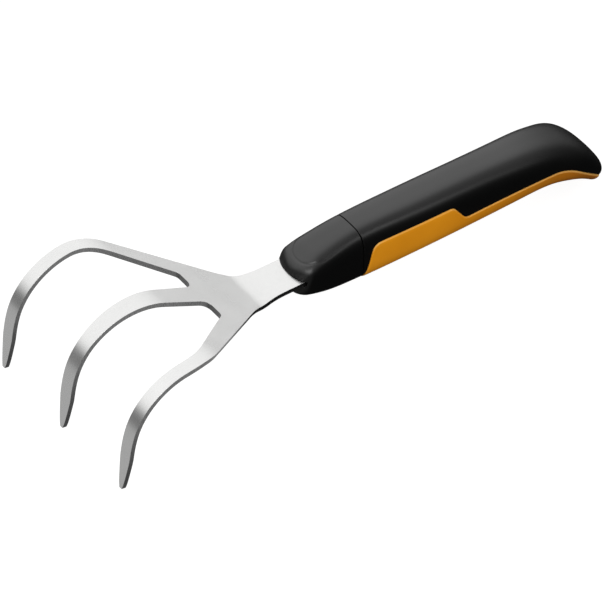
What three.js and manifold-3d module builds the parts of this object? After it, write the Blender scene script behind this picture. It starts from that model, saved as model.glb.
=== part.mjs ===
// Hand cultivator: a stamped three-tine steel head whose tang is clamped in a moulded handle.
//
// Millimetres, +Z up. The handle runs along +X, the tines reach out along -X and bend down,
// and the tool is the same on both sides of the plane Y = 0. Pieces are dimensioned from the
// bend where the flat neck turns up into the palm, with the top of the neck at Z = 0. The
// finished tool is then moved so that the origin is the middle of the palm's top face.

import * as THREE from 'three';
import { mergeVertices } from 'three/addons/utils/BufferGeometryUtils.js';
import Module from 'manifold-3d';

const wasm = await Module();
wasm.setup();

// ---------------------------------------------------------------- driving dimensions

const CLEARANCE = 0.3; // gap left between neighbouring pieces

// Steel head, as it is bent along its length.
const STEEL_THICKNESS = 2.5;
const PALM_PITCH = THREE.MathUtils.degToRad(25); // the palm rises this much from the neck
const PALM_BEND_RADIUS = 14;
const PALM_LENGTH = 57; // from the middle of that bend to the start of the curl
const PALM_MIDDLE = 18; // from the middle of that bend to the tool's origin
const CURL_RADIUS = 37;
const CURL_ANGLE = THREE.MathUtils.degToRad(98);
const LOWER_CURL_RADIUS = 65;
const LOWER_CURL_ANGLE = THREE.MathUtils.degToRad(8);
const TIP_LENGTH = 22.5; // straight end of each tine

// Steel head, as the flat blank is cut.
const NECK_HALF_WIDTH = 10.4;
const NECK_FILLET = 46; // sweeps the neck out into the outer tines
const SHOULDER_X = 28; // the blank steps down to the tang here
const TANG_HALF_WIDTH = 7.5;
const TANG_END_X = 134;
const TANG_CORNER = 5;
const SPREAD_ANGLE = THREE.MathUtils.degToRad(35.3); // outer tines leave the palm at this angle
const SPREAD_START_Y = 2.6; // where the line of an outer tine would cross x = 0
const TIP_SPREAD_Y = 50; // outer tines run parallel at this distance from the middle one
const ELBOW_RADIUS = 34;
const CROTCH_X = -30.8;
const CROTCH_INNER_RADIUS = 4.5;
const CROTCH_OUTER_RADIUS = 3.5;
const OUTER_TINE = { rootHalf: 6.6, endHalf: 3.7, taperLength: 68, stations: 46 };
const MIDDLE_TINE = { rootHalf: 7.1, endHalf: 4.1, taperLength: 104, stations: 40 };
const POINT_LENGTH = 18; // each tine narrows to a blunt point over this length
const POINT_HALF_WIDTH = 0.95;
const POINT_POWER = 0.7;
const TINE_START_X = -37; // where the palm hands over to the separate tines

// Handle. Distance along it starts at the nose; top and bottom are heights from the spine.
const NOSE_X = 22.5;
const NOSE_START = 0.1; // the nose ends in a narrow flat
const NOSE_RADIUS = 3.6; // in the side view
const NOSE_REACH = 6.4; // in plan the nose is half an ellipse with this depth
const BUTT_RADIUS = 3;
const HANDLE_LENGTH = 187.2;
const NOSE_LEAN = 0.42; // the nose's face slopes back by this much from its lower lip
const NOSE_LEAN_END = 14; // the sections stand upright again from here
const HOOK_START = 135; // from here the spine curves down to the butt
const HOOK_ANGLE = 0.74;
const NOSE_SQUARENESS = 3.8; // superellipse exponent of the section
const BUTT_SQUARENESS = 2.6;
const HANDLE_STATIONS = [
  { at: 0, half: 12.7, top: 5.4, bottom: -7.6 },
  { at: 15, half: 12.7, top: 10.1, bottom: -13.8 },
  { at: 36, half: 12.5, top: 13.5, bottom: -16.3 },
  { at: 73, half: 13.5, top: 13.5, bottom: -16.1 },
  { at: 114, half: 14, top: 13, bottom: -15.2 },
  { at: 151, half: 15.6, top: 11.7, bottom: -12.2 },
  { at: 167, half: 17.2, top: 10.5, bottom: -9.6 },
  { at: HANDLE_LENGTH, half: 14.5, top: 5.2, bottom: -6.7 },
];
const GROOVE_START = 36.1; // the collar ends here
const GROOVE_END = 36.9; // the grip starts here
const SKIN_THICKNESS = 3;
const CORE_START = 16;
const CORE_END = 160;
const NOTCH_HALF_WIDTH = 11.6; // room for the full width of the neck in the nose

// Orange insert: its edge in the side view, as corners (x, z) with a rounding radius.
const INSERT_EDGE = [
  { x: 58.4, z: -22, radius: 0 },
  { x: 65.2, z: 5, radius: 5 },
  { x: 112.4, z: 5.3, radius: 4.5 },
  { x: 119.8, z: -4.6, radius: 4.5 },
  { x: 181.5, z: -1.6, radius: 22 },
  { x: 214, z: -26.5, radius: 0 },
];

// Pins through the core and the tang.
const PIN_POSITIONS = [66, 108];
const PIN_RADIUS = 2.5;
const PIN_HEAD_RADIUS = 4.2;
const PIN_HEAD_HEIGHT = 1.4;
const PIN_TOP_Z = 9;
const PIN_BOTTOM_Z = -12;

// Mesh fineness.
const RING_POINTS = 40;
const CORE_RING_POINTS = 28;
const PIN_SEGMENTS = 20;
const FILLET_STEPS = 12;
const BEND_STEPS = 8;
const HOOK_STEPS = 24;
const NOSE_STEPS = [0.4, 0.9, 1.6, 2.6, 3.8, 5.2]; // closer rings near the nose
const BUTT_STEPS = [0, 0.4, 1.2, 2.4]; // and near the butt
const COLLAR_SPACING = 4;
const GRIP_SPACING = 5;
const CORE_SPACING = 9;
const MERGE_TOLERANCE = 1e-4;
const TRACE_STEP = 0.25; // step used to find where a tine's centreline ends
const SMALL_GAP = 0.5; // kept between sheet points that come from different outlines
const FAR = 300; // beyond every piece

// ---------------------------------------------------------------- solids and booleans

// Turns a closed geometry into a manifold solid.
function toSolid(geometry) {
  const bare = geometry.index ? geometry.toNonIndexed() : geometry.clone();
  bare.deleteAttribute('normal');
  bare.deleteAttribute('uv');
  const merged = mergeVertices(bare, MERGE_TOLERANCE);
  return new wasm.Manifold(new wasm.Mesh({
    numProp: 3,
    vertProperties: new Float32Array(merged.attributes.position.array),
    triVerts: new Uint32Array(merged.index.array),
  }));
}

function toGeometry(solid) {
  const mesh = solid.getMesh();
  const geometry = new THREE.BufferGeometry();
  geometry.setAttribute('position', new THREE.BufferAttribute(mesh.vertProperties, 3));
  geometry.setIndex(new THREE.BufferAttribute(mesh.triVerts, 1));
  geometry.computeVertexNormals();
  return geometry;
}

// A box between two corners, as a solid.
function boxSolid(low, high) {
  const box = new THREE.BoxGeometry(high[0] - low[0], high[1] - low[1], high[2] - low[2]);
  box.translate((low[0] + high[0]) / 2, (low[1] + high[1]) / 2, (low[2] + high[2]) / 2);
  return toSolid(box);
}

// A closed solid through rings of points, each with the same count, closed by flat fans.
function loftGeometry(rings) {
  const count = rings[0].length;
  const positions = rings.flat().flatMap((point) => point.toArray());
  const triangles = [];
  for (let ring = 0; ring < rings.length - 1; ring += 1) {
    for (let i = 0; i < count; i += 1) {
      const a = ring * count + i;
      const b = ring * count + ((i + 1) % count);
      triangles.push(a, b, b + count, a, b + count, a + count);
    }
  }
  for (const [ring, outward] of [[0, false], [rings.length - 1, true]]) {
    const middle = new THREE.Vector3();
    rings[ring].forEach((point) => middle.addScaledVector(point, 1 / count));
    const centre = positions.length / 3;
    positions.push(...middle.toArray());
    for (let i = 0; i < count; i += 1) {
      const a = ring * count + i;
      const b = ring * count + ((i + 1) % count);
      triangles.push(...(outward ? [a, b, centre] : [b, a, centre]));
    }
  }
  const geometry = new THREE.BufferGeometry();
  geometry.setAttribute('position', new THREE.Float32BufferAttribute(positions, 3));
  geometry.setIndex(triangles);
  return geometry;
}

// ---------------------------------------------------------------- plane outlines

// The points of a corner rounded with an arc that touches both of its sides.
function roundCorner(before, corner, after, radius, steps = 6) {
  const inward = before.clone().sub(corner).normalize();
  const outward = after.clone().sub(corner).normalize();
  const halfAngle = inward.angleTo(outward) / 2;
  const reach = radius / Math.tan(halfAngle);
  const start = corner.clone().addScaledVector(inward, reach);
  const end = corner.clone().addScaledVector(outward, reach);
  const bisector = inward.clone().add(outward).normalize();
  const centre = corner.clone().addScaledVector(bisector, radius / Math.sin(halfAngle));
  const from = start.clone().sub(centre);
  const to = end.clone().sub(centre);
  const sweep = Math.atan2(from.cross(to), from.dot(to));
  const points = [];
  for (let i = 0; i <= steps; i += 1) {
    points.push(start.clone().rotateAround(centre, (sweep * i) / steps));
  }
  return points;
}

// Where two lines, each given by a point and a direction, cross.
function crossing(pointA, directionA, pointB, directionB) {
  const t = pointB.clone().sub(pointA).cross(directionB) / directionA.cross(directionB);
  return pointA.clone().addScaledVector(directionA, t);
}

// ---------------------------------------------------------------- steel head: the flat blank

// A flat triangulated sheet whose pieces share their points.
class Sheet {
  constructor() {
    this.points = [];
    this.triangles = [];
    this.known = new Map();
  }

  indexOf(point) {
    const key = `${point.x.toFixed(4)},${point.y.toFixed(4)}`;
    if (!this.known.has(key)) {
      this.known.set(key, this.points.length);
      this.points.push(point);
    }
    return this.known.get(key);
  }

  addTriangle(a, b, c) {
    const area = b.clone().sub(a).cross(c.clone().sub(a));
    const corners = area > 0 ? [a, b, c] : [a, c, b];
    this.triangles.push(corners.map((corner) => this.indexOf(corner)));
  }

  // Quads between two edges that have the same number of points.
  addStrip(left, right) {
    for (let i = 0; i < left.length - 1; i += 1) {
      this.addTriangle(left[i], right[i], right[i + 1]);
      this.addTriangle(left[i], right[i + 1], left[i + 1]);
    }
  }

  addPolygon(outline, holes = []) {
    const all = [outline, ...holes].flat();
    const faces = THREE.ShapeUtils.triangulateShape(outline, holes);
    faces.forEach(([a, b, c]) => this.addTriangle(all[a], all[b], all[c]));
  }

  // Directed edges that only one triangle has.
  borderEdges() {
    const edges = this.triangles.flatMap(([a, b, c]) => [[a, b], [b, c], [c, a]]);
    const seen = new Set(edges.map(([a, b]) => `${a},${b}`));
    return edges.filter(([a, b]) => !seen.has(`${b},${a}`));
  }
}

const mirrored = (point) => new THREE.Vector2(point.x, -point.y);

// Straight heading and side directions of the outer tine (y > 0) where it leaves the palm.
const SPREAD_HEADING = new THREE.Vector2(-Math.cos(SPREAD_ANGLE), Math.sin(SPREAD_ANGLE));

// Centreline and heading of an outer tine at a distance down its flat blank from x = 0.
function outerTineAt(distance) {
  const origin = new THREE.Vector2(0, SPREAD_START_Y);
  const toCorner = (TIP_SPREAD_Y - SPREAD_START_Y) / Math.sin(SPREAD_ANGLE);
  const reach = ELBOW_RADIUS * Math.tan(SPREAD_ANGLE / 2);
  const arcStart = toCorner - reach;
  const arcLength = ELBOW_RADIUS * SPREAD_ANGLE;
  const turned = THREE.MathUtils.clamp((distance - arcStart) / ELBOW_RADIUS, 0, SPREAD_ANGLE);
  const angle = SPREAD_ANGLE - turned;
  const point = origin.addScaledVector(SPREAD_HEADING, Math.min(distance, arcStart));
  point.x -= ELBOW_RADIUS * (Math.sin(SPREAD_ANGLE) - Math.sin(angle));
  point.y += ELBOW_RADIUS * (Math.cos(angle) - Math.cos(SPREAD_ANGLE));
  point.x -= Math.max(distance - arcStart - arcLength, 0);
  return { point, heading: new THREE.Vector2(-Math.cos(angle), Math.sin(angle)) };
}

function middleTineAt(distance) {
  return { point: new THREE.Vector2(-distance, 0), heading: new THREE.Vector2(-1, 0) };
}

const BLANK_LENGTH = PALM_LENGTH + CURL_RADIUS * CURL_ANGLE
  + LOWER_CURL_RADIUS * LOWER_CURL_ANGLE + TIP_LENGTH;

// Half the width of a tine at blank coordinate x, which falls to -BLANK_LENGTH at the tip.
function tineHalfWidth(tine, x) {
  const taper = THREE.MathUtils.clamp(1 + x / tine.taperLength, 0, 1);
  const body = tine.endHalf + (tine.rootHalf - tine.endHalf) * taper;
  const point = THREE.MathUtils.clamp((BLANK_LENGTH + x) / POINT_LENGTH, 0, 1);
  return POINT_HALF_WIDTH + (body - POINT_HALF_WIDTH) * point ** POINT_POWER;
}

// Both edges of a tine from one distance to the point where its centreline reaches the tip.
function tineEdges(pathAt, tine, firstDistance) {
  let lastDistance = firstDistance;
  while (pathAt(lastDistance).point.x > -BLANK_LENGTH) lastDistance += TRACE_STEP;
  const left = [];
  const right = [];
  for (let i = 0; i < tine.stations; i += 1) {
    const part = i / (tine.stations - 1);
    const distance = THREE.MathUtils.lerp(firstDistance, lastDistance, part);
    const { point, heading } = pathAt(distance);
    const side = new THREE.Vector2(-heading.y, heading.x);
    const half = tineHalfWidth(tine, Math.max(point.x, -BLANK_LENGTH));
    left.push(point.clone().addScaledVector(side, half));
    right.push(point.clone().addScaledVector(side, -half));
  }
  return { left, right };
}

function rivetHole(x) {
  const points = [];
  for (let i = 0; i < PIN_SEGMENTS; i += 1) {
    const angle = (-2 * Math.PI * i) / PIN_SEGMENTS;
    const radius = PIN_RADIUS + CLEARANCE;
    points.push(new THREE.Vector2(x + radius * Math.cos(angle), radius * Math.sin(angle)));
  }
  return points;
}

// Tang with its rivet holes, from the start of the neck strip to its rounded end.
function addTang(sheet, neckStartX) {
  const upper = [
    new THREE.Vector2(neckStartX, NECK_HALF_WIDTH),
    new THREE.Vector2(SHOULDER_X, NECK_HALF_WIDTH),
    new THREE.Vector2(SHOULDER_X, TANG_HALF_WIDTH),
    ...roundCorner(
      new THREE.Vector2(SHOULDER_X, TANG_HALF_WIDTH),
      new THREE.Vector2(TANG_END_X, TANG_HALF_WIDTH),
      new THREE.Vector2(TANG_END_X, 0),
      TANG_CORNER,
    ),
  ];
  const lower = upper.map(mirrored);
  sheet.addPolygon([...lower, ...upper.reverse()], PIN_POSITIONS.map(rivetHole));
}

// Half-width of the neck where the fillet towards the outer tines has begun.
function neckHalfWidth(fillet, x) {
  const next = fillet.findIndex((point) => point.x <= x);
  if (next <= 0) return NECK_HALF_WIDTH;
  const [a, b] = [fillet[next - 1], fillet[next]];
  return THREE.MathUtils.mapLinear(x, a.x, b.x, a.y, b.y);
}

// The whole flat blank. x runs from the tips (negative) to the end of the tang.
function cutBlank() {
  const sheet = new Sheet();
  const outer = tineEdges(outerTineAt, OUTER_TINE, -TINE_START_X / Math.cos(SPREAD_ANGLE));
  const middle = tineEdges(middleTineAt, MIDDLE_TINE, -TINE_START_X);

  // A tine heads towards -X, so its left edge has the smaller y.
  const outerEdge = outer.right[0];
  const innerEdge = outer.left[0];
  const outerSlope = outer.right[1].clone().sub(outer.right[0]).normalize();
  const innerSlope = outer.left[1].clone().sub(outer.left[0]).normalize();
  const middleEdge = middle.right[0];
  const middleSlope = middle.right[1].clone().sub(middle.right[0]).normalize();

  const neckSide = new THREE.Vector2(0, NECK_HALF_WIDTH);
  const alongX = new THREE.Vector2(1, 0);
  const alongY = new THREE.Vector2(0, 1);
  const neckCorner = crossing(neckSide, alongX, outerEdge, outerSlope);
  const neckEnd = new THREE.Vector2(SHOULDER_X, NECK_HALF_WIDTH);
  const fillet = roundCorner(neckEnd, neckCorner, outerEdge, NECK_FILLET, FILLET_STEPS);

  const crotchBottom = new THREE.Vector2(CROTCH_X, 0);
  const outerCrotch = crossing(innerEdge, innerSlope, crotchBottom, alongY);
  const middleCrotch = crossing(middleEdge, middleSlope, crotchBottom, alongY);
  const crotch = [
    ...roundCorner(innerEdge, outerCrotch, middleCrotch, CROTCH_OUTER_RADIUS),
    ...roundCorner(outerCrotch, middleCrotch, middleEdge, CROTCH_INNER_RADIUS),
  ];

  // Neck strip, finely divided where the palm bend crosses it.
  const bendReach = (PALM_BEND_RADIUS * PALM_PITCH) / 2;
  const neckStartX = SHOULDER_X - 1;
  const palmStartX = -bendReach - SMALL_GAP;
  const filletXs = fillet.map((point) => point.x).filter((x) => x > bendReach + SMALL_GAP);
  const bendXs = [];
  for (let i = 0; i <= BEND_STEPS; i += 1) {
    bendXs.push(THREE.MathUtils.lerp(bendReach, palmStartX, i / BEND_STEPS));
  }
  const neckXs = [neckStartX, ...filletXs, ...bendXs];
  const neckTop = neckXs.map((x) => new THREE.Vector2(x, neckHalfWidth(fillet, x)));
  sheet.addStrip(neckTop, neckTop.map(mirrored));

  // Palm: one half outline from the neck strip round to the middle tine, then its mirror.
  const half = [
    neckTop.at(-1),
    ...fillet.filter((point) => point.x < palmStartX - SMALL_GAP),
    outerEdge,
    innerEdge,
    ...crotch,
    middleEdge,
  ];
  sheet.addPolygon([...half, ...half.map(mirrored).reverse()]);

  sheet.addStrip(outer.left, outer.right);
  sheet.addStrip(outer.left.map(mirrored), outer.right.map(mirrored));
  sheet.addStrip(middle.left, middle.right);
  addTang(sheet, neckStartX);
  return sheet;
}

// ---------------------------------------------------------------- steel head: the bends

// Bends along the blank, from the neck outwards: length of each run and how far it turns.
const BENDS = [
  { length: PALM_BEND_RADIUS * PALM_PITCH, turn: PALM_PITCH },
  { length: PALM_LENGTH - (PALM_BEND_RADIUS * PALM_PITCH) / 2, turn: 0 },
  { length: CURL_RADIUS * CURL_ANGLE, turn: -CURL_ANGLE },
  { length: LOWER_CURL_RADIUS * LOWER_CURL_ANGLE, turn: -LOWER_CURL_ANGLE },
  { length: TIP_LENGTH + 1, turn: 0 },
];

// Place, height and pitch of the steel's top face at blank coordinate x.
function bentProfile(x) {
  const bendStartX = (PALM_BEND_RADIUS * PALM_PITCH) / 2;
  if (x >= bendStartX) return { x, z: 0, pitch: 0 };
  let left = bendStartX - x;
  let forward = -bendStartX;
  let z = 0;
  let pitch = 0;
  for (const { length, turn } of BENDS) {
    const used = Math.min(left, length);
    const turned = (turn * used) / length;
    if (turn === 0) {
      forward += used * Math.cos(pitch);
      z += used * Math.sin(pitch);
    } else {
      const radius = length / turn;
      forward += radius * (Math.sin(pitch + turned) - Math.sin(pitch));
      z += radius * (Math.cos(pitch) - Math.cos(pitch + turned));
    }
    pitch += turned;
    left -= used;
  }
  return { x: -forward, z, pitch };
}

// A blank point, moved down through the steel by depth, after bending.
function bentPoint(point, depth) {
  const { x, z, pitch } = bentProfile(point.x);
  return new THREE.Vector3(
    x - depth * Math.sin(pitch),
    point.y,
    z - depth * Math.cos(pitch),
  );
}

function tineHead() {
  const sheet = cutBlank();
  const count = sheet.points.length;
  const upper = sheet.points.map((point) => bentPoint(point, 0));
  const lower = sheet.points.map((point) => bentPoint(point, STEEL_THICKNESS));
  const positions = [...upper, ...lower].flatMap((point) => point.toArray());
  const triangles = [];
  for (const [a, b, c] of sheet.triangles) {
    triangles.push(a, b, c, c + count, b + count, a + count);
  }
  for (const [a, b] of sheet.borderEdges()) {
    triangles.push(b, a, a + count, b, a + count, b + count);
  }
  const geometry = new THREE.BufferGeometry();
  geometry.setAttribute('position', new THREE.Float32BufferAttribute(positions, 3));
  geometry.setIndex(triangles);
  geometry.computeVertexNormals();
  return geometry;
}

// ---------------------------------------------------------------- handle

// A value of the station list at a distance, on a smooth curve through the stations.
function stationValue(key, distance) {
  const list = HANDLE_STATIONS;
  const last = list.length - 1;
  let i = 0;
  while (i < last - 1 && distance > list[i + 1].at) i += 1;
  const slope = (j) => {
    const a = list[Math.max(j - 1, 0)];
    const b = list[Math.min(j + 1, last)];
    return (b[key] - a[key]) / (b.at - a.at);
  };
  const span = list[i + 1].at - list[i].at;
  const t = (distance - list[i].at) / span;
  const t2 = t * t;
  const t3 = t2 * t;
  return (2 * t3 - 3 * t2 + 1) * list[i][key] + (t3 - 2 * t2 + t) * span * slope(i)
    + (3 * t2 - 2 * t3) * list[i + 1][key] + (t3 - t2) * span * slope(i + 1);
}

// Downward pitch of the spine, which grows smoothly along the hook.
const spinePitch = (distance) => (
  HOOK_ANGLE * THREE.MathUtils.smoothstep(distance, HOOK_START, HANDLE_LENGTH)
);

// Downward pitch of a cross-section, which also leans back near the nose.
const sectionPitch = (distance) => (
  spinePitch(distance) + NOSE_LEAN * (1 - THREE.MathUtils.smoothstep(distance, 0, NOSE_LEAN_END))
);

// Place of the spine, summed in short steps along the hook.
function spineAt(distance) {
  if (distance <= HOOK_START) return { x: NOSE_X + distance, z: 0 };
  const step = (distance - HOOK_START) / HOOK_STEPS;
  let x = NOSE_X + HOOK_START;
  let z = 0;
  for (let i = 0; i < HOOK_STEPS; i += 1) {
    const pitch = spinePitch(HOOK_START + (i + 0.5) * step);
    x += step * Math.cos(pitch);
    z -= step * Math.sin(pitch);
  }
  return { x, z };
}

// How far the surface draws in near an end that is rounded with a radius.
function endInset(fromEnd, radius) {
  const left = Math.max(radius - fromEnd, 0);
  return radius - Math.sqrt(radius * radius - left * left);
}

// Share of the full width at a distance from the nose.
function noseWidth(distance) {
  const left = Math.max(1 - distance / NOSE_REACH, 0);
  return Math.sqrt(1 - left * left);
}

// One ring of the handle, drawn in by inset, in the plane of the cross-section.
function handleRing(distance, inset, pointCount) {
  const inButt = endInset(HANDLE_LENGTH - distance, BUTT_RADIUS);
  const inEnd = endInset(distance, NOSE_RADIUS) + inButt;
  const half = stationValue('half', distance) * noseWidth(distance) - inset - inButt;
  const top = stationValue('top', distance) - inset - inEnd;
  const bottom = stationValue('bottom', distance) + inset + inEnd;
  const squareness = THREE.MathUtils.lerp(
    NOSE_SQUARENESS,
    BUTT_SQUARENESS,
    distance / HANDLE_LENGTH,
  );
  const spine = spineAt(distance);
  const pitch = sectionPitch(distance);
  const bulge = (value) => Math.sign(value) * Math.abs(value) ** (2 / squareness);
  const ring = [];
  for (let i = 0; i < pointCount; i += 1) {
    const angle = (2 * Math.PI * i) / pointCount;
    const y = half * bulge(Math.cos(angle));
    const height = (top + bottom) / 2 + ((top - bottom) / 2) * bulge(Math.sin(angle));
    ring.push(new THREE.Vector3(
      spine.x + height * Math.sin(pitch),
      y,
      spine.z + height * Math.cos(pitch),
    ));
  }
  return ring;
}

// The handle's body between two distances, drawn in by inset.
function handleSolid(from, to, inset, spacing, pointCount) {
  const distances = new Set([from, to]);
  for (let at = from; at < to; at += spacing) distances.add(at);
  if (from === NOSE_START) NOSE_STEPS.forEach((step) => distances.add(step));
  if (to === HANDLE_LENGTH) BUTT_STEPS.forEach((step) => distances.add(to - step));
  const sorted = [...distances].sort((a, b) => a - b);
  return toSolid(loftGeometry(sorted.map((at) => handleRing(at, inset, pointCount))));
}

// The stiff core, grown outwards by extra.
function coreSolid(extra) {
  return handleSolid(
    CORE_START - extra,
    CORE_END + extra,
    SKIN_THICKNESS - extra,
    CORE_SPACING,
    CORE_RING_POINTS,
  );
}

// Side-view edge of the orange insert, moved up and out by offset.
function insertEdge(offset) {
  const corners = INSERT_EDGE.map(({ x, z }) => new THREE.Vector2(x, z));
  const points = INSERT_EDGE.flatMap(({ radius }, i) => (
    radius === 0 ? [corners[i]] : roundCorner(corners[i - 1], corners[i], corners[i + 1], radius)
  ));
  return points.map((point, i) => {
    const before = points[Math.max(i - 1, 0)];
    const after = points[Math.min(i + 1, points.length - 1)];
    const along = after.clone().sub(before).normalize();
    return point.clone().add(new THREE.Vector2(-along.y, along.x).multiplyScalar(offset));
  });
}

// Everything below the insert's edge, wider than the handle.
function insertRegion(offset) {
  const edge = insertEdge(offset);
  const outline = [
    new THREE.Vector2(edge[0].x, -FAR),
    ...edge,
    new THREE.Vector2(edge.at(-1).x, -FAR),
  ];
  const geometry = new THREE.ExtrudeGeometry(new THREE.Shape(outline), {
    depth: FAR,
    bevelEnabled: false,
  });
  geometry.rotateX(Math.PI / 2);
  geometry.translate(0, FAR / 2, 0);
  return toSolid(geometry);
}

function noseCollar() {
  const outside = handleSolid(NOSE_START, GROOVE_START, 0, COLLAR_SPACING, RING_POINTS);
  const low = -STEEL_THICKNESS - CLEARANCE;
  const slotHalf = TANG_HALF_WIDTH + CLEARANCE;
  const coreFront = NOSE_X + CORE_START;
  const notch = boxSolid(
    [NOSE_X - 5, -NOTCH_HALF_WIDTH, low],
    [SHOULDER_X + CLEARANCE, NOTCH_HALF_WIDTH, CLEARANCE],
  );
  const slot = boxSolid([NOSE_X, -slotHalf, low], [coreFront + 1, slotHalf, CLEARANCE]);
  return toGeometry(outside.subtract(coreSolid(CLEARANCE)).subtract(notch).subtract(slot));
}

function gripBody() {
  return handleSolid(GROOVE_END, HANDLE_LENGTH, 0, GRIP_SPACING, RING_POINTS)
    .subtract(coreSolid(CLEARANCE));
}

function gripCover() {
  return toGeometry(gripBody().subtract(insertRegion(CLEARANCE)));
}

function gripInsert() {
  return toGeometry(gripBody().intersect(insertRegion(0)));
}

// Half profile of a pin with a head at each end, turned about Z.
function pinGeometry(clearance) {
  const shank = PIN_RADIUS + clearance;
  const head = PIN_HEAD_RADIUS + clearance;
  const top = PIN_TOP_Z + clearance;
  const bottom = PIN_BOTTOM_Z - clearance;
  const headUnder = PIN_TOP_Z - PIN_HEAD_HEIGHT - clearance;
  const footOver = PIN_BOTTOM_Z + PIN_HEAD_HEIGHT + clearance;
  const profile = [
    [0, bottom], [head, bottom], [head, footOver], [shank, footOver],
    [shank, headUnder], [head, headUnder], [head, top], [0, top],
  ].map(([radius, z]) => new THREE.Vector2(radius, z));
  const geometry = new THREE.LatheGeometry(profile, PIN_SEGMENTS);
  geometry.rotateX(Math.PI / 2);
  return geometry;
}

// Room for a pin, open to the outside of the core so that the pin can be driven in.
function pinBore(x) {
  const shaft = toSolid(pinGeometry(CLEARANCE).translate(x, 0, 0));
  const counterbore = (z) => {
    const radius = PIN_HEAD_RADIUS + CLEARANCE;
    const cylinder = new THREE.CylinderGeometry(radius, radius, FAR, PIN_SEGMENTS);
    return toSolid(cylinder.rotateX(Math.PI / 2).translate(x, 0, z));
  };
  const above = counterbore(PIN_TOP_Z - PIN_HEAD_HEIGHT - CLEARANCE + FAR / 2);
  const below = counterbore(PIN_BOTTOM_Z + PIN_HEAD_HEIGHT + CLEARANCE - FAR / 2);
  return shaft.add(above).add(below);
}

// The core with its pin bores, kept on one side of the parting plane.
function coreHalf(low, high) {
  let solid = coreSolid(0).intersect(boxSolid([-FAR, -FAR, low], [FAR, FAR, high]));
  for (const x of PIN_POSITIONS) solid = solid.subtract(pinBore(x));
  return solid;
}

function coreUpper() {
  return toGeometry(coreHalf(CLEARANCE, FAR));
}

function coreLower() {
  const half = TANG_HALF_WIDTH + CLEARANCE;
  const pocket = boxSolid(
    [0, -half, -STEEL_THICKNESS - CLEARANCE],
    [TANG_END_X + CLEARANCE, half, CLEARANCE],
  );
  return toGeometry(coreHalf(-FAR, 0).subtract(pocket));
}

// ---------------------------------------------------------------- assembly

const brushedSteel = new THREE.MeshStandardMaterial({
  color: 0xc9c9c6, roughness: 0.34, metalness: 1,
});
const blackPlastic = new THREE.MeshStandardMaterial({
  color: 0x1b1b1c, roughness: 0.5, metalness: 0,
});
const orangeRubber = new THREE.MeshStandardMaterial({
  color: 0xcf8a1e, roughness: 0.6, metalness: 0,
});
const greyPlastic = new THREE.MeshStandardMaterial({
  color: 0x3a3b3d, roughness: 0.6, metalness: 0,
});
const pinSteel = new THREE.MeshStandardMaterial({
  color: 0xa8a8a6, roughness: 0.4, metalness: 1,
});

function namedMesh(name, geometry, material) {
  const mesh = new THREE.Mesh(geometry, material);
  mesh.name = name;
  return mesh;
}

const tool = new THREE.Group();
tool.add(namedMesh('tine_head', tineHead(), brushedSteel));
tool.add(namedMesh('nose_collar', noseCollar(), blackPlastic));
tool.add(namedMesh('grip_cover', gripCover(), blackPlastic));
tool.add(namedMesh('grip_insert', gripInsert(), orangeRubber));
tool.add(namedMesh('core_upper', coreUpper(), greyPlastic));
tool.add(namedMesh('core_lower', coreLower(), greyPlastic));
['tang_pin_front', 'tang_pin_rear'].forEach((name, i) => {
  const pin = namedMesh(name, pinGeometry(0), pinSteel);
  pin.position.x = PIN_POSITIONS[i];
  tool.add(pin);
});

const cultivator = new THREE.Group();
tool.position.copy(bentPoint(new THREE.Vector2(-PALM_MIDDLE, 0), 0)).negate();
cultivator.add(tool);

export default cultivator;
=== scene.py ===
"""Looks of the hand cultivator: a stamped steel head in a black and orange moulded handle.

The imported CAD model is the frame. The steel head keeps the CAD outline and gains rounded edges and
a cut-edge finish. The collar, the grip cover and the insert are modelled again as fine shells that
follow the CAD handle. The core and the pins inside stay as CAD pieces with their own materials.
"""

import itertools
import math

import bmesh
import bpy
import numpy as np
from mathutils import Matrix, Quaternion, Vector


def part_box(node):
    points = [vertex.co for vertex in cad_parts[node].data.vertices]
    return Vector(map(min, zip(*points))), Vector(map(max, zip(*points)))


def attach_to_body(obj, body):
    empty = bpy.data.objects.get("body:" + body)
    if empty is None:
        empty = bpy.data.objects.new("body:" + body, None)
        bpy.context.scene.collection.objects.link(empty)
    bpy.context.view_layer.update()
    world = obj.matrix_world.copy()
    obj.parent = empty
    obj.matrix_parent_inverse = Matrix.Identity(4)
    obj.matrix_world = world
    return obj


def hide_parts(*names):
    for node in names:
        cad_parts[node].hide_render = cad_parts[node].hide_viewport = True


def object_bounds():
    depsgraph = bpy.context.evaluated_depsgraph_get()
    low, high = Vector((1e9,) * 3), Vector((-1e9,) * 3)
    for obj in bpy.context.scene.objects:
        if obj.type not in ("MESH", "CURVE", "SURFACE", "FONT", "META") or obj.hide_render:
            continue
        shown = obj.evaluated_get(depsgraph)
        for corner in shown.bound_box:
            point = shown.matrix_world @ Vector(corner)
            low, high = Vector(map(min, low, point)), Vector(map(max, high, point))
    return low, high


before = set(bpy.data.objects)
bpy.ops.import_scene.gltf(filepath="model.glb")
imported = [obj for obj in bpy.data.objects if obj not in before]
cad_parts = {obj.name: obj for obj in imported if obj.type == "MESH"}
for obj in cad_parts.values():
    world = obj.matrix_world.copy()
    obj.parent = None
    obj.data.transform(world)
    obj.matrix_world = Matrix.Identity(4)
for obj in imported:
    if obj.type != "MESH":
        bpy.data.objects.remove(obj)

# ---------------------------------------------------------------- the frame
# Blender works in metres. Lengths below are in millimetres and are scaled by MM where they are used.

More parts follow.
